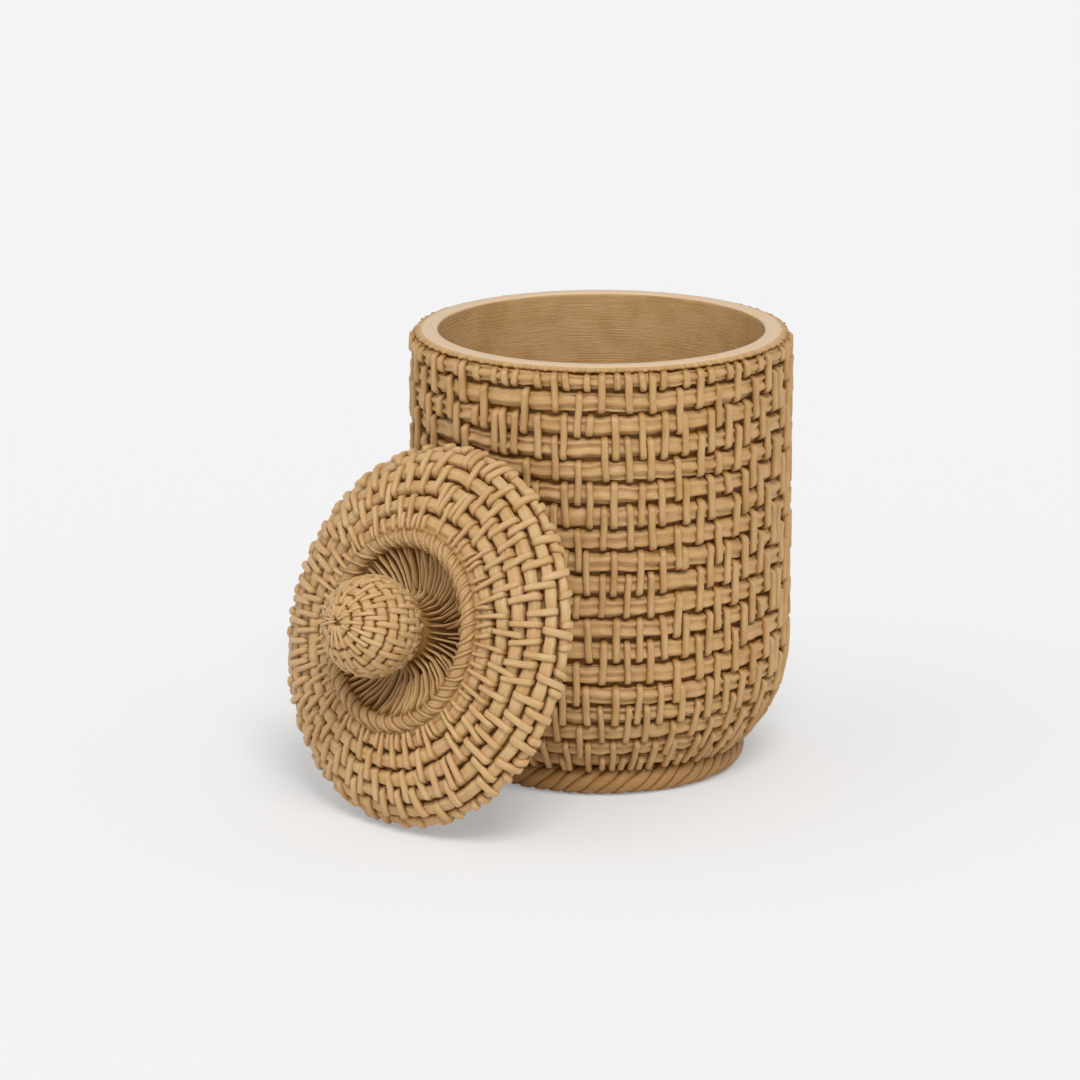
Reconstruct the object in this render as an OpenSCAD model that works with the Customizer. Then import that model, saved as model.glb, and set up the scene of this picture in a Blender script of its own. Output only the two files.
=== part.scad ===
// Cane-look canister with its lid taken off and leaning against it.
// Both pieces are castings: the weave is relief on one solid wall.

/* [Canister] */
// Diameter across the weave
body_d = 90; // [84:1:110]
// Height from the table to the rim
body_h = 104; // [90:1:130]
// Wall between the bottom of the weave and the smooth inside
wall_t = 4.2; // [3:0.2:8]
// Height of the inside floor above the table
floor_t = 9; // [8:0.5:14]
// Rounding between the inside wall and the inside floor
cavity_round = 16; // [12:1:18]
// Height at which the side starts to curve in
bend_z = 30; // [26:1:34]
// Radius of that curve
bend_r = 32.6; // [31:0.2:40]

/* [Rim] */
// How far the rim's edge stands in from the face of the weave
rim_inset = 3; // [2.5:0.1:4]
// Thickness of the rim plate
rim_t = 1.4; // [1:0.1:2.4]
// Rounding of the rim's two edges
rim_round = 0.5; // [0.2:0.1:0.8]

/* [Foot] */
// Diameter across the bound foot ring
foot_d = 68.6; // [62:0.2:72]
// Height of the foot ring
foot_h = 7; // [5:0.5:8]
// Number of turns of binding round the foot
foot_wraps = 54; // [36:1:60]

/* [Weave] */
// Distance between the centres of neighbouring cane rows
row_pitch = 5.3; // [4.8:0.1:6.5]
// Height of one cane row
row_w = 4.1; // [3.6:0.1:4.4]
// How far a cane row stands out from the wall
row_rise = 1.7; // [1.2:0.1:2.2]
// How far an upright strand stands out from the rows
strand_rise = 1.1; // [0.8:0.1:1.5]
// Number of upright strands, in fours
strand_count = 64; // [48:4:72]
// Width of an upright strand
strand_w = 3; // [2.2:0.1:3.2]

/* [Lid] */
// How far the lid's edge stands in from the face of the canister's weave
lid_inset = 0.9; // [0:0.1:2]
// Height of the lid's widest line above its seat
lid_edge_h = 2; // [1.6:0.1:3]
// Rise of the dome from its widest line to the collar
dome_h = 10.5; // [9:0.5:14]
// Diameter of the line at the centre of the bound collar
collar_d = 42.2; // [38:0.2:46]
// Thickness of the bound collar
collar_t = 4.4; // [3.6:0.2:5]
// Number of turns of binding round the collar
collar_wraps = 40; // [28:1:48]
// Distance between the centres of the dome's cane rings
ring_pitch = 4.2; // [4:0.1:5]
// Height of the recess floor above the lid's seat
recess_floor = 5; // [4:0.5:6]
// Number of thin strands that cross the recess
fin_count = 36; // [24:4:60]
// Thickness of one of those strands
fin_t = 0.7; // [0.5:0.1:0.9]
// Depth of the disc that drops into the mouth
spigot_h = 2; // [1.5:0.5:4]
// Gap all round between that disc and the mouth
spigot_gap = 0.6; // [0.3:0.1:1.5]

/* [Knob] */
// Diameter of the woven ball
knob_d = 23.6; // [20:0.2:26]
// Height of the ball's centre above the lid's seat
knob_z = 21.1; // [19:0.1:24]
// Diameter of the neck under the ball
neck_d = 12.6; // [9:0.2:14]
// Number of strands round the ball
knob_strands = 22; // [18:2:30]
// Number of cane rows on the ball
knob_rows = 7; // [6:1:9]

/* [Lid at rest] */
// Lean of the lid's axis above the table, in degrees
lid_lean = 17.6; // [12:0.2:30]
// Direction in which the lid faces, in degrees
lid_azimuth = 225.3; // [200:0.1:250]
// How far the lid stands to one side of the canister's middle
lid_shift = 4.2; // [0:0.1:5]
// Gap between the lid and the canister where they meet
rest_gap = 0.2; // [0.1:0.1:0.5]

/* [Hidden] */
$fn = 96;

cane = [0.76, 0.6, 0.4];
body_r = body_d / 2;
valley_depth = row_rise + strand_rise;
mouth_r = body_r - valley_depth - wall_t;
rim_r = body_r - rim_inset;

// Turns a point given along and across a radius to its place at angle a
function at(a, p) = [p.x * cos(a) - p.y * sin(a), p.x * sin(a) + p.y * cos(a)];
// Points along a round corner about c, from angle a to angle b
function corner(c, r, a, b, n) = [for (i = [0 : n]) c + r * [cos(a + (b - a) * i / n), sin(a + (b - a) * i / n)]];

// The side's outline: s runs down the face from the rim, depth into the wall
straight = body_h - bend_z;
function side(s, depth) =
    let (a = max(0, (s - straight) / bend_r * 180 / PI))
    s < straight ? [body_r - depth, body_h - s]
    : [body_r - bend_r + (bend_r - depth) * cos(a), bend_z - (bend_r - depth) * sin(a)];

first_row = row_w / 2 + 0.75;
side_length = straight + bend_r * asin((bend_z - foot_h) / bend_r) * PI / 180;
row_count = floor((side_length - first_row) / row_pitch) + 1;
function row_s(k) = first_row + k * row_pitch;

// A strand passes in front of two rows and behind the third; its neighbours start on other rows
STARTS = [0, 2, 0, 1];
function in_front(j, k) = (k + 3 - STARTS[j % 4]) % 3 != 2;

// The wall under the strands, with a flattened cane round it at each row
module woven_wall() {
    rotate_extrude()
        polygon(concat(
            [[0, body_h - 1], side(1, valley_depth)],
            [
                for (k = [0 : row_count - 1], p = [[-0.5, valley_depth], [-0.28, strand_rise],
                        [0.28, strand_rise], [0.5, valley_depth]])
                    side(row_s(k) + row_w * p.x, p.y)
            ],
            [[foot_d / 2 - foot_h / 2, foot_h - 1], [0, foot_h - 1]]));
}

// An upright strand where it stands in front of rows k and k + 1, rising from the wall and diving back
function strand_outline(k) =
    let (
        top = row_s(0) - 0.3 * row_pitch,
        end = row_s(row_count - 1) + 0.3 * row_pitch,
        rise = 0.32 * row_pitch,
        a = max(top, row_s(k) - 0.3 * row_pitch),
        b = min(end, row_s(k + 1) + 0.3 * row_pitch)
    )
    [side(max(0.9, a - rise), valley_depth + 0.4), side(a, 0), side(b, 0), side(b + rise, valley_depth + 0.4)];

module strands() {
    turn = strand_w / body_r * 180 / PI;
    for (j = [0 : strand_count - 1])
        rotate(j * 360 / strand_count - turn / 2)
            for (k = [STARTS[j % 4] - 3 : 3 : row_count - 1])
                if (k > -2)
                    rotate_extrude(angle = turn) polygon(strand_outline(k));
}

// Ring of binding: slanted grooves between the turns, round a section given about its centre
module bound_ring(section, centre, wraps, groove, slant) {
    n = 2 * wraps;
    m = len(section);
    points = [
        for (i = [0 : n - 1], q = [0 : m - 1])
            let (p = section[q], sunk = i % 2 == 0 ? 1 : 1 - groove, a = (i + slant * q) * 360 / n)
            concat(at(a, [centre.x + p.x * sunk, 0]), centre.y + p.y * sunk)
    ];
    faces = [
        for (i = [0 : n - 1], q = [0 : m - 1])
            let (a = i * m + q, b = i * m + (q + 1) % m, c = (i + 1) % n * m + (q + 1) % m, d = (i + 1) % n * m + q)
            for (f = [[a, b, c], [a, c, d]]) f
    ];
    polyhedron(points, faces);
}

module foot() {
    half = foot_h / 2;
    core_r = foot_d / 2 - foot_h;
    cylinder(r = core_r + 1, h = foot_h + 1);
    bound_ring(
        concat([for (a = [-90 : 30 : 90]) [half * cos(a), half * sin(a)]], [[-half, half], [-half, -half]]),
        [foot_d / 2 - half, half], foot_wraps, 0.16, -0.5);
}

module rim() {
    z = body_h - rim_t;
    rotate_extrude() polygon(concat(
        [[0, z - 1], [rim_r, z - 1]],
        corner([rim_r - rim_round, body_h - rim_round], rim_round, 0, 90, 4),
        [[0, body_h]]));
}

module inside() {
    rotate_extrude() polygon(concat(
        [[0, floor_t]],
        corner([mouth_r - cavity_round, floor_t + cavity_round], cavity_round, -90, 0, 10),
        corner([mouth_r + rim_round, body_h - rim_round], rim_round, 180, 90, 4),
        [[mouth_r + rim_round, body_h + 1], [0, body_h + 1]]));
}

module canister() {
    color(cane) difference() {
        union() {
            woven_wall();
            strands();
            rim();
            foot();
        }
        inside();
    }
}

// The lid stands on its seat in its own frame and is leaned over at the end
lid_r = body_r - lid_inset;
crown_r = collar_d / 2 - collar_t / 4;
dome_w = lid_r - crown_r;
lid_sides = 48;

// A point of the dome: t runs from the widest line at 0 to the crown at 90, h stands out from the face
function dome_speed(t) = norm([dome_w * sin(t), dome_h * cos(t)]);
function dome(t, h) =
    [crown_r + dome_w * cos(t), lid_edge_h + dome_h * sin(t)]
    + h * [dome_h * cos(t), dome_w * sin(t)] / dome_speed(t);
// The value of t one step further along the face
function along(t, step) = t + step * 180 / PI / dome_speed(t + step * 90 / PI / dome_speed(t));
first_ring_t = 4;
function ring_t(i) = i == 0 ? first_ring_t : along(ring_t(i - 1), ring_pitch);
function rings_from(i) = dome(ring_t(i), 0).x < (collar_d + collar_t) / 2 + 1 ? i : rings_from(i + 1);
ring_count = rings_from(1);

function ring_section(i) = [
    for (p = [[-2.1, -valley_depth], [-1.3, -strand_rise], [1.3, -strand_rise]])
        dome(along(ring_t(i), p.x), p.y)
];
lid_outline = concat(
    [[lid_r - valley_depth, 0]],
    [for (i = [0 : ring_count - 1], p = ring_section(i)) if (p.y > 0.2) p],
    [[collar_d / 2, lid_edge_h + dome_h - 1], [collar_d / 2 - collar_t / 2 + 0.4, lid_edge_h + dome_h - 2],
     [collar_d / 2 - collar_t, recess_floor + 2.4], [(collar_d + neck_d) / 4, recess_floor + 0.6],
     [neck_d / 2 + 2, recess_floor], [neck_d / 2, recess_floor + 2], [neck_d / 2 - 0.6, knob_z - knob_d / 4]]);

// A solid turned in flat-faced steps from an outline that runs from its base to its top
module stepped_turning(outline, n) {
    m = len(outline);
    points = [for (p = outline, i = [0 : n - 1]) concat(at(i * 360 / n, [p.x, 0]), p.y)];
    sides = [
        for (q = [0 : m - 2], i = [0 : n - 1])
            [q * n + i, (q + 1) * n + i, (q + 1) * n + (i + 1) % n, q * n + (i + 1) % n]
    ];
    ends = [[for (i = [0 : n - 1]) i], [for (i = [n - 1 : -1 : 0]) (m - 1) * n + i]];
    polyhedron(points, concat(sides, ends));
}

// A strand of the dome, laid over rings i and i + 1
module dome_strand(j, i) {
    reach = ring_pitch / 2 - 0.3;
    low = dome(along(ring_t(max(i, 0)), -reach), -0.9);
    high = dome(along(ring_t(min(i + 1, ring_count - 1)), reach), -0.9);
    run = high - low;
    w = 0.6 * PI * (low.x + high.x) / strand_count;
    rotate(j * 360 / strand_count)
        translate([low.x, 0, low.y])
            rotate([0, atan2(run.x, run.y), 0])
                rotate(30) cylinder(d = w / cos(30), h = norm(run), $fn = 6);
}

module dome_strands() {
    for (j = [0 : strand_count - 1], i = [STARTS[j % 4] - 3 : 3 : ring_count - 1])
        if (i > -2)
            dome_strand(j, i);
}

module collar() {
    r = collar_t / 2;
    bound_ring([for (a = [-60 : 60 : 240]) r * [cos(a), sin(a)]],
        [collar_d / 2, lid_edge_h + dome_h - 0.7], collar_wraps, 0.22, 1);
}

module recess_fins() {
    outer = collar_d / 2 - collar_t / 2;
    for (j = [0 : fin_count - 1])
        rotate((j + 0.5) * 360 / fin_count)
            rotate([90, 0, 0])
                translate([0, 0, -fin_t / 2])
                    linear_extrude(fin_t)
                        polygon([
                            [neck_d / 2 - 1, recess_floor - 1], [neck_d / 2 - 1, recess_floor + 3.6],
                            [(neck_d / 2 + outer) / 2, recess_floor + 2], [outer - 1, recess_floor + 4.4],
                            [outer, recess_floor + 4.4], [outer, recess_floor + 1], [outer - 2, recess_floor - 1]
                        ]);
}

// The ball: canes run round it and strands run from the neck to the pole
module knob() {
    n = 2 * knob_strands;
    levels = 2 * knob_rows;
    low = -62;
    high = 82;
    function depth(i, q) =
        let (k = floor(q / 2), j = floor(i / 2), row = q % 2 == 1)
        i % 2 == 1 ? (row ? 0.5 : 1.2)
        : row ? (in_front(j, k) ? 0 : 0.5)
        : in_front(j, k) && in_front(j, k + 2) ? 0 : 1;
    points = [
        for (q = [0 : levels], i = [0 : n - 1])
            let (b = low + (high - low) * q / levels, r = knob_d / 2 - depth(i, q) * (b > 60 ? 0.5 : 1))
            concat(at(i * 360 / n, [r * cos(b), 0]), knob_z + r * sin(b))
    ];
    sides = [
        for (q = [0 : levels - 1], i = [0 : n - 1])
            let (a = q * n + i, b = q * n + (i + 1) % n)
            for (f = [[a, a + n, b + n], [a, b + n, b]]) f
    ];
    ends = [[for (i = [0 : n - 1]) i], [for (i = [n - 1 : -1 : 0]) levels * n + i]];
    polyhedron(points, concat(sides, ends));
}

module lid_standing() {
    translate([0, 0, -spigot_h]) cylinder(r = mouth_r - spigot_gap, h = spigot_h + 1);
    stepped_turning(lid_outline, lid_sides);
    dome_strands();
    collar();
    recess_fins();
    knob();
}

// How far the lid reaches below and behind its seat's centre once it leans
lid_below = crown_r * cos(lid_lean) + norm([dome_w * cos(lid_lean), dome_h * sin(lid_lean)])
    - lid_edge_h * sin(lid_lean) + 0.1;
lid_behind = max(
    (mouth_r - spigot_gap) * sin(lid_lean) + spigot_h * cos(lid_lean),
    lid_r * sin(lid_lean) - lid_edge_h * cos(lid_lean));

module lid() {
    color(cane)
        rotate(lid_azimuth)
            translate([sqrt(pow(body_r, 2) - pow(lid_shift, 2)) + rest_gap + lid_behind, lid_shift, lid_below])
                rotate([0, 90 - lid_lean, 0])
                    rotate(180)
                        lid_standing();
}

canister();
lid();
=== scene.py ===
import math

import bpy
import numpy as np
from mathutils import Euler, Matrix, Vector


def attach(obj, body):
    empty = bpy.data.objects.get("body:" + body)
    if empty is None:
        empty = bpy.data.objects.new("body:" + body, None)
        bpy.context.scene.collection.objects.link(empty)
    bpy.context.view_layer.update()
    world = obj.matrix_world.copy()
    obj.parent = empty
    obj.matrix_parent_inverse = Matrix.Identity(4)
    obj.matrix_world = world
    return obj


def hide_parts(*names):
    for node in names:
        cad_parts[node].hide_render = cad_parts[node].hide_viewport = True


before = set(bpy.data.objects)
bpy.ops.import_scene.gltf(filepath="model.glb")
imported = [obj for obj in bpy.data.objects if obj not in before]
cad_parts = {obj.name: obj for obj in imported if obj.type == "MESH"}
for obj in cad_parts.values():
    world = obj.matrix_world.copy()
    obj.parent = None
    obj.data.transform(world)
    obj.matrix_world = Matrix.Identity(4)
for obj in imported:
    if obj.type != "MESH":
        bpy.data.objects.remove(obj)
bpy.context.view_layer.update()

MM = 0.001
TURN = 2 * math.pi
rng = np.random.default_rng(7)

# Sizes in millimetres, the same as the solids' own
BODY_R, BODY_H = 45.0, 104.0
BEND_Z, BEND_R = 30.0, 32.6
STRAIGHT = BODY_H - BEND_Z
MOUTH_R, RIM_R, RIM_T = 38.0, 42.0, 1.4
FLOOR_T, CAVITY_ROUND = 9.0, 16.0
FOOT_R, FOOT_H, FOOT_WRAPS = 34.3, 7.0, 54
FIRST_ROW, ROW_PITCH, ROW_COUNT = 2.8, 5.3, 19
LID_R, LID_EDGE_H = 44.1, 2.0
COLLAR_R, COLLAR_T = 21.1, 4.4
CROWN_R = COLLAR_R - COLLAR_T / 4
DOME_W, DOME_H = LID_R - CROWN_R, 10.5
SPIGOT_R, SPIGOT_H = 37.4, 2.0
KNOB_R, KNOB_Z = 11.8, 21.1
LEAN, AZIMUTH, SHIFT, REST_GAP = 17.6, 225.3, 4.2, 0.2

# The weave, with more and finer strands, turns and fins than the solids have
STRANDS, STRAND_W, STRAND_T = 96, 1.64, 1.3
FIRST_RING, RING_PITCH, RING_COUNT = 1.3, 4.3, 6
COLLAR_WRAPS, FIN_COUNT = 46, 68
KNOB_STRANDS, KNOB_STRAND_T = 40, 0.75
KNOB_FIRST, KNOB_PITCH, KNOB_ROWS, KNOB_END = 2.6, 3.05, 10, 31.5

# Share of the pitch by which a strand passes the middle of its first and last row
OVERLAP = 0.56
# Radius at which outlines stop short of the axis
AXIS_R = 0.05
# Tone that marks the smooth rim plate, which gets a painted highlight: a paler colour for the
# light on its flat top; strands have tones from -1 to 1
RIM_HIGHLIGHT_TONE = 3.0


# Camera: it looks down on the object through a long lens
pitch = math.radians(14.81)
distance = 1177.0
aim_x, aim_z = -14.25, 52.66
camera = bpy.data.objects.new("camera", bpy.data.cameras.new("camera"))
camera.data.sensor_width = 36
camera.data.lens = 166.67
camera.data.clip_end = 50
camera.location = (
    aim_x * MM,
    -distance * math.cos(pitch) * MM,
    (aim_z + distance * math.sin(pitch)) * MM,
)
camera.rotation_euler = Euler((math.pi / 2 - pitch, 0, 0))
bpy.context.scene.collection.objects.link(camera)
bpy.context.scene.camera = camera


# Faces: s runs along a face, depth goes into it and phi runs round the axis
def paired(s, depth):
    return np.broadcast_arrays(np.asarray(s, float), np.asarray(depth, float))


def lengths(r, z):
    """The distance along an outline at each of its points."""
    return np.concatenate([[0], np.cumsum(np.hypot(np.diff(r), np.diff(z)))])


def body_side(s, depth):
    """The canister's side, from the rim down and round the bend to the foot."""
    s, depth = paired(s, depth)
    a = np.maximum(0, (s - STRAIGHT) / BEND_R)
    r = BODY_R - BEND_R + (BEND_R - depth) * np.cos(a)
    z = np.where(s < STRAIGHT, BODY_H - s, BEND_Z - (BEND_R - depth) * np.sin(a))
    return r, z


dome_t = np.linspace(0, math.pi / 2, 400)
dome_speed = np.hypot(DOME_W * np.sin(dome_t), DOME_H * np.cos(dome_t))
dome_steps = (dome_speed[1:] + dome_speed[:-1]) / 2 * np.diff(dome_t)
dome_s = np.concatenate([[0], np.cumsum(dome_steps)])


def dome_side(s, depth):
    """The lid's dome, from its edge up to the collar; below 0 it is the upright edge."""
    s, depth = paired(s, depth)
    t = np.interp(s, dome_s, dome_t)
    speed = np.hypot(DOME_W * np.sin(t), DOME_H * np.cos(t))
    r = CROWN_R + DOME_W * np.cos(t) - depth * DOME_H * np.cos(t) / speed
    z = LID_EDGE_H + DOME_H * np.sin(t) - depth * DOME_W * np.sin(t) / speed
    below = s < 0
    return np.where(below, LID_R - depth, r), np.where(below, LID_EDGE_H + s, z)


def knob_side(s, depth):
    """The ball, from its pole down."""
    s, depth = paired(s, depth)
    r = KNOB_R - depth
    return r * np.sin(s / KNOB_R), KNOB_Z + r * np.cos(s / KNOB_R)


# The recess, as (r, z) from the collar to the neck
BOWL = np.array([
    [20.2, 12.6], [18.4, 9.0], [15.6, 7.2], [12.6, 6.3],
    [9.6, 5.9], [7.8, 6.6], [6.8, 8.6], [6.4, 12.0],
])
BOWL_STEP = 0.6
bowl_s = lengths(BOWL[:, 0], BOWL[:, 1])


def bowl_at(s):
    return np.interp(s, bowl_s, BOWL[:, 0]), np.interp(s, bowl_s, BOWL[:, 1])


def bowl_side(s, depth):
    """The recess between the collar and the neck."""
    s, depth = paired(s, depth)
    r, z = bowl_at(s)
    r2, z2 = bowl_at(s + BOWL_STEP)
    r1, z1 = bowl_at(s - BOWL_STEP)
    length = np.maximum(1e-6, np.hypot(r2 - r1, z2 - z1))
    return r - depth * (z2 - z1) / length, z + depth * (r2 - r1) / length


def turned(r, z, phi):
    """Points at radius r and height z, turned by phi round the axis."""
    return np.stack(np.broadcast_arrays(r * np.cos(phi), r * np.sin(phi), z), axis=-1)


def place(side, s, depth, phi):
    r, z = side(s, depth)
    return turned(r, z, phi)


def around(segments):
    """Even steps round the axis, from the back."""
    return np.linspace(0, TURN, segments, endpoint=False) + math.pi / 2


def round_axis(r, phi):
    """A place along a ring, in two parts, so that it has no seam."""
    return (r * np.cos(phi), r * np.sin(phi))


def waves(phi, amplitude, seed, turns=(3, 7, 13, 29, 47)):
    """A slow, uneven wave round the axis, without a seam."""
    own = np.random.default_rng(seed)
    total = np.zeros_like(phi)
    for n in turns:
        total += own.uniform(0.4, 1) * np.sin(n * phi + own.uniform(0, 7))
    return amplitude * total / 1.6


def arc(cx, cz, r, a, b, n):
    t = np.radians(np.linspace(a, b, n))
    return np.stack([cx + r * np.cos(t), cz + r * np.sin(t)], axis=-1)


class Mesh:
    """Gathers points, faces and each point's wash and painted shade, tone and place along its
    fibre.
    """

    def __init__(self):
        self.points, self.faces, self.wash, self.tone, self.fibre = [], [], [], [], []
        self.count = 0

    def grid(self, points, wash, tone, across, along, wrap_u=False, wrap_v=False, caps=False):
        """Adds a sheet of n by m points; along is one value or a pair from round_axis."""
        n, m = points.shape[:2]
        self.points.append(points.reshape(-1, 3))
        self.wash.append(np.broadcast_to(wash, (n, m)).reshape(-1))
        self.tone.append(np.broadcast_to(tone, (n, m)).reshape(-1))
        along = along if isinstance(along, tuple) else (along, 0.0)
        parts = [np.asarray(part, float) for part in (across, *along)]
        fibre = np.stack(np.broadcast_arrays(*parts), axis=-1)
        self.fibre.append(np.broadcast_to(fibre, (n, m, 3)).reshape(-1, 3))
        i = np.arange(n if wrap_u else n - 1)
        j = np.arange(m if wrap_v else m - 1)
        i, j = [g.reshape(-1) for g in np.meshgrid(i, j, indexing="ij")]
        i2, j2 = (i + 1) % n, (j + 1) % m
        quads = np.stack([i * m + j, i2 * m + j, i2 * m + j2, i * m + j2], axis=-1)
        self.faces.extend((quads + self.count).tolist())
        if caps:
            self.faces.append((np.arange(m)[::-1] + self.count).tolist())
            self.faces.append((np.arange(m) + (n - 1) * m + self.count).tolist())
        self.count += n * m

    def piece(self, name, material, node, matrix=None, flip=False):
        """Makes the piece, which takes the place of the node's own mesh."""
        points = np.concatenate(self.points) * MM
        faces = [f[::-1] for f in self.faces] if flip else self.faces
        mesh = bpy.data.meshes.new(name)
        mesh.from_pydata(points.tolist(), [], faces)
        for key, kind, field, values in (
            ("wash", "FLOAT", "value", np.clip(np.concatenate(self.wash), 0, 1)),
            ("tone", "FLOAT", "value", np.concatenate(self.tone)),
            ("fibre", "FLOAT_VECTOR", "vector", np.concatenate(self.fibre)),
        ):
            layer = mesh.attributes.new(key, kind, "POINT")
            layer.data.foreach_set(field, values.astype(np.float32).reshape(-1))
        mesh.polygons.foreach_set("use_smooth", [True] * len(mesh.polygons))
        mesh.materials.append(material)
        if matrix is not None:
            mesh.transform(matrix)
        mesh.update()
        piece = bpy.data.objects.new(name, mesh)
        bpy.context.scene.collection.objects.link(piece)
        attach(piece, "root")
        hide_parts(node)


def revolve(mesh, profile, segments, wash, tone, closed=True):
    """Turns an outline of (r, z) points, with one value of wash and painted shade for each."""
    profile = np.asarray(profile, float)
    phi = around(segments)[:, None]
    r, z = profile[:, 0], profile[:, 1]
    mesh.grid(turned(r, z, phi), wash, tone, lengths(r, z), round_axis(30, phi), True, closed)


# A strand's section, across it in half widths and over it in heights
STRAND_U = np.array([-0.98, -1.02, -0.92, -0.6, -0.2, 0.25, 0.64, 0.93, 1.02, 0.98])
STRAND_V = np.array([-1.1, -0.62, -0.26, -0.05, 0.0, -0.01, -0.06, -0.27, -0.62, -1.1])
# Its sections lie close together near its ends, and this far apart between them
STRAND_ENDS = np.array([0.0, 0.12, 0.36, 0.75, 1.25, 1.9])
STRAND_STEP = 2.6
# Below this length the ends draw together, and each end is rounded over this much
STRAND_FULL, STRAND_ROUND = 4.4, 0.8


def strand(
    mesh, side, s0, s1, phi, width, height, seed, lean, face,
    dive=2.1, reach=1.5, taper=(1.0, 1.0), low=0.0,
):
    """One strand that lies on a face from s0 to s1 and dives into it at both ends."""
    own = np.random.default_rng(seed)
    total = s1 - s0
    ends = STRAND_ENDS * min(1, total / STRAND_FULL)
    steps = max(3, int(total / STRAND_STEP) + 1)
    mid = np.linspace(ends[-1], total - ends[-1], steps)[1:-1]
    at = np.concatenate([ends, mid, total - ends[::-1]])
    near = np.minimum(at, total - at)
    depth = face + dive * np.clip(1 - near / reach, 0, 1) ** 1.8
    depth = depth + low * np.sin(math.pi * at / total) ** 2
    depth = depth + 0.05 * np.sin(at * own.uniform(0.6, 1.2) + own.uniform(0, 6))
    round_off = np.sqrt(np.clip(1 - (1 - np.clip(near / STRAND_ROUND, 0, 1)) ** 2, 0.02, 1))
    w = width / 2 * round_off * (taper[0] + (taper[1] - taper[0]) * at / total)
    s = s0 + at
    centre_r, _ = side(s, 0)
    wobble = 0.04 * width * np.sin(at * 0.7 + own.uniform(0, 6)) / np.maximum(2, centre_r)
    wander = lean * (at / total - 0.5) + wobble
    thickness = np.minimum(1, round_off + 0.25)[:, None]
    d = depth[:, None] - STRAND_V[None, :] * height * thickness
    u = STRAND_U[None, :] * w[:, None]
    r, _ = side(s[:, None], d)
    points = place(side, s[:, None], d, phi + wander[:, None] + u / np.maximum(1.0, r))
    # Painted shade with the wash: the strand darkens on its sides and where it dives into the
    # face
    wash = np.clip((d - face - 0.45) / 1.5, 0, 1)
    tone = own.uniform(-1, 1)
    across = u + own.uniform(0, 50)
    along = at[:, None] + own.uniform(0, 90)
    mesh.grid(points, wash, tone, across, along, wrap_v=True, caps=True)


def cane(mesh, side, s, half, rise, base, segments, seed, push, wave, points, ribs):
    """A flattened cane that runs round the axis at s, with ribs along it."""
    own = np.random.default_rng(seed)
    phi = around(segments)
    a = np.radians(np.linspace(-100, 100, points))
    ds = half * np.sign(np.sin(a)) * np.abs(np.sin(a)) ** 0.85
    out = rise * np.sign(np.cos(a)) * np.abs(np.cos(a)) ** 0.62
    ridges = own.uniform(2.6, 3.6)
    phase = own.uniform(0, 6) + waves(phi, 1.1, seed + 5, (2, 3, 5, 8))
    rib = ribs * np.sin(ridges * np.linspace(0, TURN, points)[None, :] + phase[:, None])
    shift = waves(phi, wave, seed)
    swell = 1 + waves(phi, 0.05, seed + 1)
    height = waves(phi, 0.07, seed + 2)
    drift = 1 + 0.5 * waves(phi, 1.0, seed + 3, (2, 5, 11))
    ribbed = rib * drift[:, None] * (out > 0.2 * rise)
    depth = base - out[None, :] * swell[:, None] - ribbed - height[:, None]
    depth = depth + push(phi)[:, None] * (out / rise)[None, :]
    where = s + ds[None, :] * swell[:, None] + shift[:, None]
    r, _ = side(s, 0)
    # Painted shade with the wash: the cane darkens away from its crest toward the gaps between
    # rows
    wash = np.clip(1.15 - out / rise * 1.25, 0, 1) ** 1.3
    tone = own.uniform(-0.6, 0.6) + waves(phi, 0.35, seed + 4)[:, None]
    across = ds[None, :] + own.uniform(0, 50)
    phi = phi[:, None]
    mesh.grid(place(side, where, depth, phi), wash, tone, across, round_axis(float(r), phi), True)


def bound_ring(
    mesh, ring_r, ring_z, r, wraps, per_wrap, section, slant, groove, seed, span, thread=0.0
):
    """A ring bound with slanted turns; span is the part of its section that shows, in degrees."""
    own = np.random.default_rng(seed)
    phi = np.linspace(0, TURN, wraps * per_wrap, endpoint=False)[:, None]
    q = np.radians(np.linspace(span[0], span[1], section))[None, :]
    irregular = waves(phi, 0.12, seed, (5, 11, 17, 31))
    turn = wraps * phi / TURN + slant * q / math.pi + irregular
    f = turn % 1
    which = np.floor(turn).astype(int) % wraps
    tone = own.uniform(-1, 1, wraps)[which]
    size = own.uniform(-0.12, 0.06, wraps)[which]
    if thread:
        # A raised thread runs along the middle of each turn, with painted shade on both sides
        rise = thread * np.exp(-(((f - 0.5) / 0.115) ** 4))
        along = waves(phi, 0.9, seed + 9, (2, 5, 9, 14))
        depth = groove - rise + 0.075 * np.sin(q * 17 + along)
        wash = 1.05 * np.exp(-(((f - 0.69) / 0.07) ** 2))
        wash = wash + 0.7 * np.exp(-(((f - 0.31) / 0.06) ** 2)) + 0.12
    else:
        edge = np.minimum(f, 1 - f) * 2
        depth = groove * (1 - np.minimum(1, edge / 0.55) ** 0.6) - 0.03 * np.sin(f * 25)
        # Painted shade with the wash: darker in the grooves between turns, and over the whole
        # ring, which sits in shade under the canister
        wash = 0.42 + 0.58 * np.clip(1 - edge / 0.24, 0, 1)
    rr = r - depth + np.minimum(0, size)
    points = turned(ring_r + rr * np.cos(q), ring_z + rr * np.sin(q), phi)
    mesh.grid(points, wash, tone, q * r + which * 3.1, round_axis(ring_r, phi), True)


# The weave's rule: a strand passes in front of two rows and behind the third
def starts_round(count, seed):
    """The row on which each strand starts; few neighbours start on the same one."""
    own = np.random.default_rng(seed)
    pattern = [2, 1, 2, 0]
    starts = [pattern[j % 4] for j in range(count)]
    for j in range(1, count - 1):
        taken = {starts[j - 1], starts[j + 1]} if own.random() < 0.93 else set()
        free = sorted({0, 1, 2} - taken)
        if own.random() < 0.4 and free:
            starts[j] = free[int(own.integers(len(free)))]
    return starts


def in_front(start, k):
    return (k - start) % 3 != 2


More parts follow.
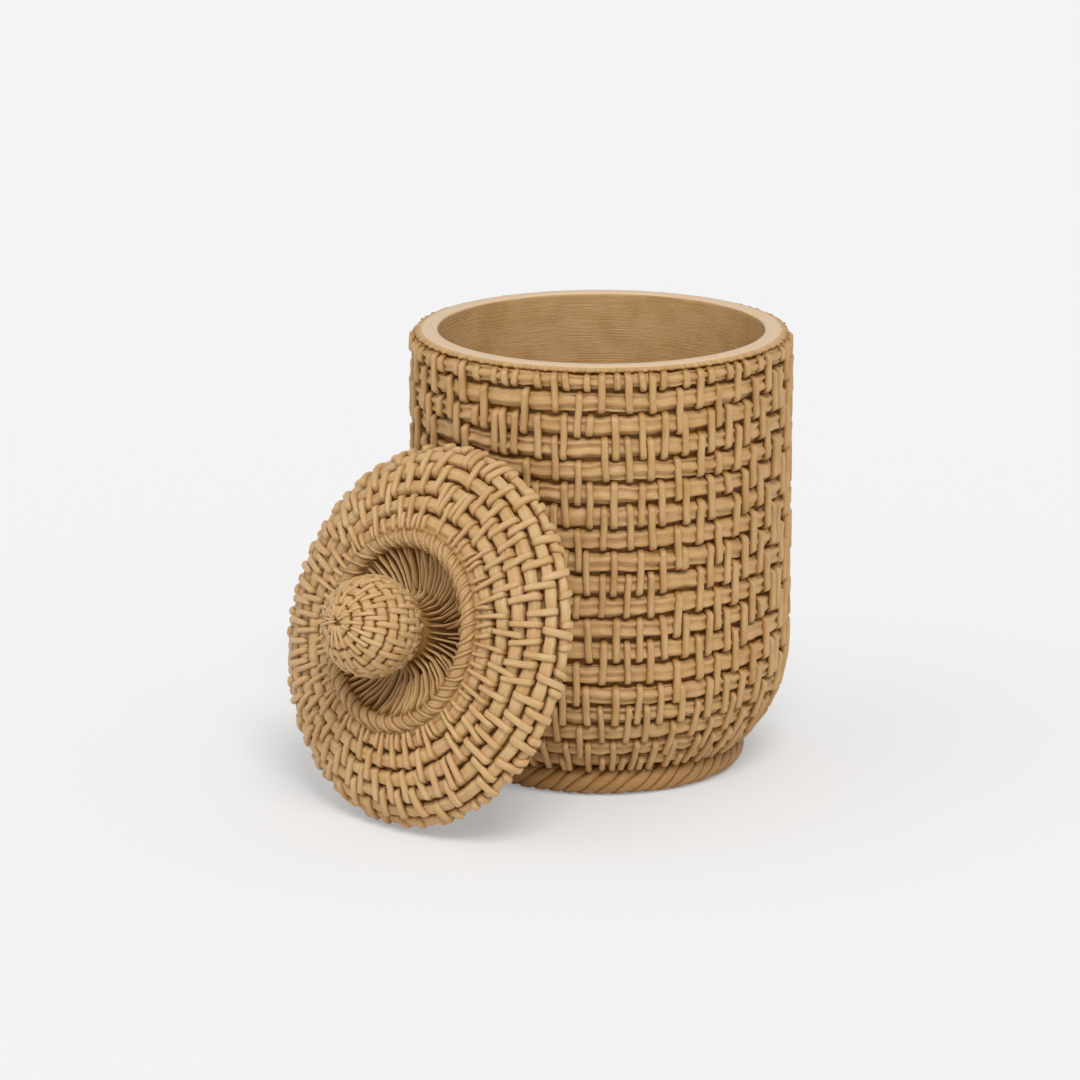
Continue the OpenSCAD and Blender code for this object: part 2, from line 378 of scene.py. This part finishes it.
def pusher(angles, starts, k, amount, spread):
    """How far a cane is pushed in under the strands before it and out over those behind it."""

    def push(phi):
        total = np.zeros_like(phi)
        for angle, start in zip(angles, starts):
            gap = (phi - angle + math.pi) % TURN - math.pi
            step = amount if in_front(start, k) else -0.8 * amount
            total += step * np.exp(-((gap / spread) ** 2))
        return total

    return push


def strand_angles(count, spread, first=0.0):
    """The strands' places round the axis, each off its own by up to spread of a step."""
    even = np.arange(count) * TURN / count + first
    return even + rng.uniform(-spread, spread, count) * TURN / count


def new_seed():
    return int(rng.integers(1 << 30))


def off(amount):
    """A random angle of up to this many degrees either way."""
    return math.radians(rng.uniform(-amount, amount))


# Material: it reads each point's wash and painted shade, tone and place along its fibre
STREAK = (0.74, 0.62, 0.42, 1)
DULL = (0.84, 0.74, 0.58, 1)
# Painted highlight: a paler colour for the light on the rim plate's flat top
RIM_HIGHLIGHT_COLOUR = (0.75, 0.56, 0.37, 1)


def resin(name, base, shade, pale):
    """Cast resin: a tan colour, streaks along the fibres, and a brown wash with painted shade in
    the hollows.
    """
    material = bpy.data.materials.new(name)
    material.use_nodes = True
    nodes, links = material.node_tree.nodes, material.node_tree.links
    shader = nodes["Principled BSDF"]
    shader.inputs["IOR"].default_value = 1.46
    shader.inputs["Specular IOR Level"].default_value = 0.32

    def node(kind, **values):
        made = nodes.new(kind)
        for key, value in values.items():
            setattr(made, key, value)
        return made

    def feed(socket, value):
        if isinstance(value, bpy.types.NodeSocket):
            links.new(value, socket)
        else:
            socket.default_value = value

    def attribute(key, output):
        return node("ShaderNodeAttribute", attribute_name=key).outputs[output]

    def noise(scale, detail, where):
        made = node("ShaderNodeTexNoise")
        made.inputs["Scale"].default_value = scale
        made.inputs["Detail"].default_value = detail
        links.new(where, made.inputs["Vector"])
        return made.outputs[0]

    def calculate(operation, *values):
        made = node("ShaderNodeMath", operation=operation)
        for socket, value in zip(made.inputs, values):
            feed(socket, value)
        return made.outputs[0]

    def mix(kind, factor, a, b):
        made = node("ShaderNodeMix", data_type="RGBA", blend_type=kind)
        feed(made.inputs[0], factor)
        feed(made.inputs[6], a)
        feed(made.inputs[7], b)
        return made.outputs[2]

    def remap(source, low, high, to_low, to_high):
        made = node("ShaderNodeMapRange")
        for socket, value in zip(made.inputs, (source, low, high, to_low, to_high)):
            feed(socket, value)
        return made.outputs[0]

    wash, tone = attribute("wash", "Fac"), attribute("tone", "Fac")
    where = node("ShaderNodeTexCoord").outputs["Object"]
    stretch = node("ShaderNodeVectorMath", operation="MULTIPLY")
    links.new(attribute("fibre", "Vector"), stretch.inputs[0])
    stretch.inputs[1].default_value = (2.2, 0.14, 0.14)
    streaks = noise(1.0, 3.0, stretch.outputs[0])
    blotches = noise(160, 4, where)
    grain = noise(1500, 3, where)

    tan = mix("MIX", remap(blotches, 0.35, 0.65, 0, 1), (*base, 1), (*pale, 1))
    tan = mix("MULTIPLY", remap(streaks, 0.3, 0.7, 0.0, 0.5), tan, STREAK)
    tan = mix("MULTIPLY", remap(tone, -1, 1, 0.3, 0.0), tan, DULL)
    # Painted highlight: tones from 2 up to the rim's tone mix toward a paler colour, for the
    # light on the rim plate's flat top
    tan = mix("MIX", remap(tone, 2, RIM_HIGHLIGHT_TONE, 0.0, 0.8), tan, RIM_HIGHLIGHT_COLOUR)
    # Painted shade together with a brown wash: each point's value from the mesh mixes the colour
    # toward the dark shade colour, in hollows, grooves and the parts behind the weave
    deep = calculate("ADD", calculate("MULTIPLY_ADD", blotches, 0.5, -0.25), wash)
    colour = mix("MIX", remap(deep, 0.02, 0.85, 0, 0.95), tan, (*shade, 1))
    links.new(colour, shader.inputs["Base Color"])
    links.new(remap(blotches, 0.3, 0.7, 0.3, 0.44), shader.inputs["Roughness"])

    bump = node("ShaderNodeBump")
    bump.inputs["Strength"].default_value = 0.8
    bump.inputs["Distance"].default_value = 0.00028
    links.new(calculate("MULTIPLY_ADD", grain, 0.35, streaks), bump.inputs["Height"])
    links.new(bump.outputs[0], shader.inputs["Normal"])
    return material


canister_resin = resin(
    "canister_resin",
    base=(0.535, 0.328, 0.138),
    shade=(0.27, 0.115, 0.018),
    pale=(0.635, 0.42, 0.205),
)
lid_resin = resin(
    "lid_resin",
    base=(0.59, 0.375, 0.172),
    shade=(0.27, 0.12, 0.022),
    pale=(0.68, 0.465, 0.245),
)


# Canister
def canister_core():
    """The rim plate, the wall behind the weave, the underside and the inside."""
    lip = arc(MOUTH_R + 0.7, BODY_H - 0.7, 0.7, 180, 90, 5)
    edge = arc(RIM_R - 0.45, BODY_H - 0.45, 0.45, 90, 0, 5)
    under = [(RIM_R, BODY_H - RIM_T + 0.1), (RIM_R - 0.3, BODY_H - RIM_T)]
    wall = np.stack(body_side(np.linspace(1.0, 99.2, 60), 3.0), axis=-1)
    foot = [(FOOT_R - 5, FOOT_H - 1.5), (FOOT_R - 3.4, 0.25), (FOOT_R - 6, 0.0)]
    middle = [(AXIS_R, 0.0), (AXIS_R, FLOOR_T)]
    inside = arc(MOUTH_R - CAVITY_ROUND, FLOOR_T + CAVITY_ROUND, CAVITY_ROUND, -90, 0, 14)
    profile = [*lip, *edge, *under, *wall, *foot, *middle, *inside]
    wall_from = len(lip) + len(edge) + len(under)
    foot_to = wall_from + len(wall) + len(foot)
    wash = np.zeros(len(profile))
    # Painted shade with the wash: the wall behind the weave and the foot's core are fully
    # darkened
    wash[wall_from : foot_to - 1] = 1.0
    tone = np.full(len(profile), 0.2)
    # The rim's top, outer edge and underside take the rim tone, and with it the painted highlight
    tone[2:wall_from] = RIM_HIGHLIGHT_TONE
    core = Mesh()
    revolve(core, profile, 256, wash, tone)
    core.piece("canister_core", canister_resin, "canister", flip=True)


def canister_weave():
    starts = starts_round(STRANDS, 3)
    angles = strand_angles(STRANDS, 0.22, math.radians(-86.6))

    rows = Mesh()
    for k in range(ROW_COUNT):
        # The first row is narrower, and lower by a little, to clear the rim plate
        cane(
            rows, body_side, FIRST_ROW + k * ROW_PITCH + (0 if k else 0.45),
            half=2.2 if k else 1.7, rise=2.1, base=3.3, segments=300, seed=100 + 7 * k,
            push=pusher(angles, starts, k, 0.26, math.radians(1.9)),
            wave=0.16, points=16, ribs=0.38,
        )
    rows.piece("canister_canes", canister_resin, "canister")

    strands = Mesh()
    for j in range(STRANDS):
        for k in range(starts[j] - 3, ROW_COUNT, 3):
            if k + 1 < 0:
                continue
            short = rng.random() < 0.09 and k >= 0
            first, last = max(k, 0), min(k + 1, ROW_COUNT - 1)
            if short:
                last = first
            s0 = FIRST_ROW + first * ROW_PITCH - OVERLAP * ROW_PITCH + rng.uniform(-0.3, 0.3)
            s1 = FIRST_ROW + last * ROW_PITCH + OVERLAP * ROW_PITCH + rng.uniform(-0.3, 0.3)
            s0 = max(s0, 0.95 + rng.uniform(-0.15, 0.25))
            angle = angles[j] + off(0.55)
            lean = off(0.9)
            narrower = 0.88 if last >= ROW_COUNT - 3 else 1
            if last == ROW_COUNT - 1:
                s1 += 0.5
            strand(
                strands, body_side, s0, s1, angle,
                STRAND_W * rng.uniform(0.92, 1.08) * narrower, STRAND_T, new_seed(),
                lean, face=rng.uniform(0.0, 0.22), low=0.12,
            )
    strands.piece("canister_strands", canister_resin, "canister")


def canister_rim_edge():
    """The ragged edge that stands out round the rim plate."""
    phi = around(720)[:, None]
    bumps = 0.5 + 0.5 * np.sin(phi * 171 + waves(phi, 2.5, 5, (9, 23, 41)))
    bumps = bumps * (0.5 + 0.5 * np.sin(phi * 83 + 1.0))
    fine = 0.5 + 0.5 * np.sin(phi * 211 + waves(phi, 3.0, 6, (8, 19, 37)))
    reach = 1.25 + 0.75 * bumps - 0.45 * fine
    # Its section: how far below the rim, and the share of its reach there
    below, share = np.array(
        [[0.1, 0.0], [0.28, 0.75], [0.55, 1.0], [0.95, 0.95], [1.3, 0.6], [1.35, 0.0]]
    ).T[:, None, :]
    r = RIM_R - 0.5 + share * (0.5 + reach)
    z = BODY_H - below - 0.25 * fine * share
    # Painted shade: darker lower down under the rim and in the gaps between the bumps; painted
    # highlight: the top of the edge takes part of the rim tone
    wash = np.clip(below - 0.5, 0, 1) + 0.35 * fine * share * (1 - bumps)
    ragged = Mesh()
    ragged.grid(turned(r, z, phi), wash, 2.6 - 2 * below, 0.0, round_axis(44, phi), True)
    ragged.piece("canister_rim_edge", canister_resin, "canister")


def canister_foot():
    foot = Mesh()
    bound_ring(
        foot, FOOT_R - FOOT_H / 2, FOOT_H / 2, FOOT_H / 2 - 0.02, FOOT_WRAPS,
        per_wrap=20, section=28, slant=-2.5, groove=0.7, seed=21, span=(-95, 130),
    )
    foot.piece("canister_foot", canister_resin, "canister")


# Lid: it stands on its edge and leans on the canister's side
lean_angle = math.radians(LEAN)
lid_below = (
    CROWN_R * math.cos(lean_angle)
    + math.hypot(DOME_W * math.cos(lean_angle), DOME_H * math.sin(lean_angle))
    - LID_EDGE_H * math.sin(lean_angle)
    + 0.1
)
lid_behind = max(
    SPIGOT_R * math.sin(lean_angle) + SPIGOT_H * math.cos(lean_angle),
    LID_R * math.sin(lean_angle) - LID_EDGE_H * math.cos(lean_angle),
)
lid_out = math.sqrt(BODY_R**2 - SHIFT**2) + REST_GAP + lid_behind
lid_place = (
    Matrix.Rotation(math.radians(AZIMUTH), 4, "Z")
    @ Matrix.Translation(Vector((lid_out, SHIFT, lid_below)) * MM)
    @ Matrix.Rotation(math.radians(90 - LEAN), 4, "Y")
    @ Matrix.Rotation(math.pi, 4, "Z")
)


def lid_core():
    """The disc, the flat underside, the dome behind the weave and the recess."""
    down = np.linspace(0.6, 26.5, 40)
    # Near the collar the dome comes up between the strands and is given less wash and painted
    # shade
    near_collar = [22.5, 24.5]
    dome = np.stack(dome_side(down, np.interp(down, near_collar, [2.9, 0.9])), axis=-1)
    disc = [(AXIS_R, -SPIGOT_H), (SPIGOT_R - 0.5, -SPIGOT_H), (SPIGOT_R, -SPIGOT_H + 0.5)]
    below = [(SPIGOT_R, 0.0), (LID_R - 3.0, 0.0), (LID_R - 2.8, 0.3)]
    under_collar = (COLLAR_R, LID_EDGE_H + DOME_H - 1)
    profile = [*disc, *below, *dome, under_collar, *BOWL, (5.8, 13.0), (AXIS_R, 14.0)]
    dome_from = len(disc) + len(below)
    dome_to = dome_from + len(dome)
    wash = np.zeros(len(profile))
    # Painted shade with the wash: the dome behind the weave and the recess under the collar are
    # darkened
    wash[dome_from:dome_to] = np.interp(down, near_collar, [0.85, 0.4])
    wash[dome_to + 1 :] = 0.8
    core = Mesh()
    revolve(core, profile, 256, wash, 0.1)
    core.piece("lid_core", lid_resin, "lid", lid_place)


def lid_weave():
    starts = starts_round(STRANDS, 12)
    angles = strand_angles(STRANDS, 0.2)

    canes = Mesh()
    for k in range(RING_COUNT):
        cane(
            canes, dome_side, FIRST_RING + k * RING_PITCH,
            half=1.86, rise=2.2, base=3.2, segments=288, seed=500 + 7 * k,
            push=pusher(angles, starts, k, 0.2, math.radians(1.8)),
            wave=0.12, points=14, ribs=0.13,
        )
    canes.piece("lid_canes", lid_resin, "lid", lid_place)

    strands = Mesh()
    edge_end, collar_end = -1.5, 25.8
    for j in range(STRANDS):
        for k in range(starts[j] - 3, RING_COUNT, 3):
            if k + 1 < 0:
                continue
            first, last = max(k, 0), min(k + 1, RING_COUNT - 1)
            s0 = FIRST_RING + first * RING_PITCH - OVERLAP * RING_PITCH + rng.uniform(-0.25, 0.25)
            s1 = FIRST_RING + last * RING_PITCH + OVERLAP * RING_PITCH + rng.uniform(-0.25, 0.25)
            s0 = max(s0, edge_end)
            at_collar = last == RING_COUNT - 1
            if at_collar:
                s1 = collar_end
            # The strands come closer together toward the collar, so they narrow with it
            step_0, step_1 = [TURN * float(dome_side(s, 0)[0]) / STRANDS for s in (s0, s1)]
            strand(
                strands, dome_side, s0, s1, angles[j] + off(0.6),
                rng.uniform(0.95, 1.15), STRAND_T, new_seed(),
                off(2.4), face=rng.uniform(0.0, 0.2),
                taper=(0.6 * step_0, (0.42 if at_collar else 0.62) * step_1),
            )
    strands.piece("lid_strands", lid_resin, "lid", lid_place)


def lid_collar():
    collar = Mesh()
    bound_ring(
        collar, COLLAR_R, LID_EDGE_H + DOME_H - 0.7, COLLAR_T / 2, COLLAR_WRAPS,
        per_wrap=26, section=34, slant=1.1, groove=0.55, seed=33, span=(-60, 240), thread=0.55,
    )
    collar.piece("lid_collar", lid_resin, "lid", lid_place)


def lid_recess():
    """Thin fins that stand up in the recess, long and short in turn."""
    fins = Mesh()
    for j in range(FIN_COUNT):
        angle = (j + rng.uniform(-0.25, 0.25)) * TURN / FIN_COUNT
        s0 = rng.uniform(0.2, 1.8)
        s1 = bowl_s[-1] - (rng.uniform(1.0, 2.5) if j % 2 else rng.uniform(4.5, 8.0))
        strand(
            fins, bowl_side, s0, s1, angle, 0.8, 2.6, new_seed(),
            off(2.5), face=-2.1 + rng.uniform(-0.4, 0.5),
            dive=1.9, reach=3.4, taper=(1.0, 0.5),
        )
    fins.piece("lid_recess_strands", lid_resin, "lid", lid_place)


def knob_strand_width(s):
    step = TURN * KNOB_R * math.sin(s / KNOB_R) / KNOB_STRANDS
    return min(1.3, max(0.6, 0.76 * step))


def lid_knob():
    ball = Mesh()
    inner = arc(0, KNOB_Z, KNOB_R - 1.35, -70, 89.9, 40)
    profile = [(AXIS_R, KNOB_Z - KNOB_R + 2.2), *inner]
    # Painted shade with the wash: the ball behind the knob's weave is darkened
    revolve(ball, profile, 96, np.full(len(profile), 0.9), 0.0, closed=False)
    starts = starts_round(KNOB_STRANDS, 8)
    angles = np.arange(KNOB_STRANDS) * TURN / KNOB_STRANDS
    for k in range(KNOB_ROWS):
        cane(
            ball, knob_side, KNOB_FIRST + k * KNOB_PITCH,
            half=1.28, rise=0.95, base=1.5, segments=120, seed=900 + 7 * k,
            push=pusher(angles, starts, k, 0.12, math.radians(3.6)),
            wave=0.07, points=10, ribs=0.03,
        )
    pole, shortest = 1.0, 2.5
    for j in range(KNOB_STRANDS):
        for k in range(starts[j] - 3, KNOB_ROWS, 3):
            if k + 1 < 0:
                continue
            s0 = KNOB_FIRST + k * KNOB_PITCH - 0.5 * KNOB_PITCH + rng.uniform(-0.15, 0.15)
            s1 = KNOB_FIRST + (k + 1) * KNOB_PITCH + 0.5 * KNOB_PITCH + rng.uniform(-0.15, 0.15)
            if s0 < pole:
                # Only every second strand reaches the pole, where all would crowd
                if j % 2:
                    continue
                s0 = rng.uniform(0.2, 2.6)
            s1 = min(s1, KNOB_END)
            if s1 - s0 < shortest:
                continue
            strand(
                ball, knob_side, s0, s1, angles[j] + off(1), 1.0, KNOB_STRAND_T, new_seed(),
                off(3.5), face=rng.uniform(0.0, 0.2),
                dive=0.9, reach=0.8, taper=(knob_strand_width(s0), knob_strand_width(s1)),
            )
    ball.piece("lid_knob", lid_resin, "lid", lid_place)


canister_core()
canister_weave()
canister_rim_edge()
canister_foot()
lid_core()
lid_weave()
lid_collar()
lid_recess()
lid_knob()


# Floor: plain, and a little brighter to the camera alone
FLOOR_HALF, FLOOR_Z = 15, -0.00005
floor_material = bpy.data.materials.new("floor")
floor_material.use_nodes = True
floor_nodes, floor_links = floor_material.node_tree.nodes, floor_material.node_tree.links
floor_shader = floor_nodes["Principled BSDF"]
floor_shader.inputs["Base Color"].default_value = (0.875, 0.86, 0.85, 1)
floor_shader.inputs["Roughness"].default_value = 1.0
floor_shader.inputs["Specular IOR Level"].default_value = 0.0
glow = floor_nodes.new("ShaderNodeEmission")
glow.inputs["Color"].default_value = (0.85, 0.888, 0.918, 1)
seen = floor_nodes.new("ShaderNodeLightPath")
share = floor_nodes.new("ShaderNodeMath")
share.operation = "MULTIPLY"
share.inputs[1].default_value = 0.3
blend = floor_nodes.new("ShaderNodeMixShader")
floor_links.new(seen.outputs["Is Camera Ray"], share.inputs[0])
floor_links.new(share.outputs[0], blend.inputs[0])
floor_links.new(floor_shader.outputs[0], blend.inputs[1])
floor_links.new(glow.outputs[0], blend.inputs[2])
floor_links.new(blend.outputs[0], floor_nodes["Material Output"].inputs["Surface"])
floor_mesh = bpy.data.meshes.new("floor")
corners = [(-1, -1), (1, -1), (1, 1), (-1, 1)]
floor_points = [(x * FLOOR_HALF, y * FLOOR_HALF, FLOOR_Z) for x, y in corners]
floor_mesh.from_pydata(floor_points, [], [(0, 1, 2, 3)])
floor_mesh.materials.append(floor_material)
floor = bpy.data.objects.new("floor", floor_mesh)
bpy.context.scene.collection.objects.link(floor)


# Light: an even white world and two soft suns
world = bpy.data.worlds.new("studio")
world.use_nodes = True
background = world.node_tree.nodes["Background"]
background.inputs["Color"].default_value = (1, 1, 1, 1)
background.inputs["Strength"].default_value = 0.55
bpy.context.scene.world = world


def sun(name, azimuth, elevation, strength, angle):
    lamp = bpy.data.objects.new(name, bpy.data.lights.new(name, "SUN"))
    lamp.data.energy = strength
    lamp.data.angle = math.radians(angle)
    turn, up = math.radians(azimuth), math.radians(elevation)
    away = Vector((math.cos(turn) * math.cos(up), math.sin(turn) * math.cos(up), math.sin(up)))
    lamp.rotation_euler = away.to_track_quat("Z", "Y").to_euler()
    bpy.context.scene.collection.objects.link(lamp)


sun("key", azimuth=-78, elevation=52, strength=1.75, angle=26)
sun("fill", azimuth=-150, elevation=38, strength=0.35, angle=60)

bpy.context.scene.view_settings.view_transform = "Standard"
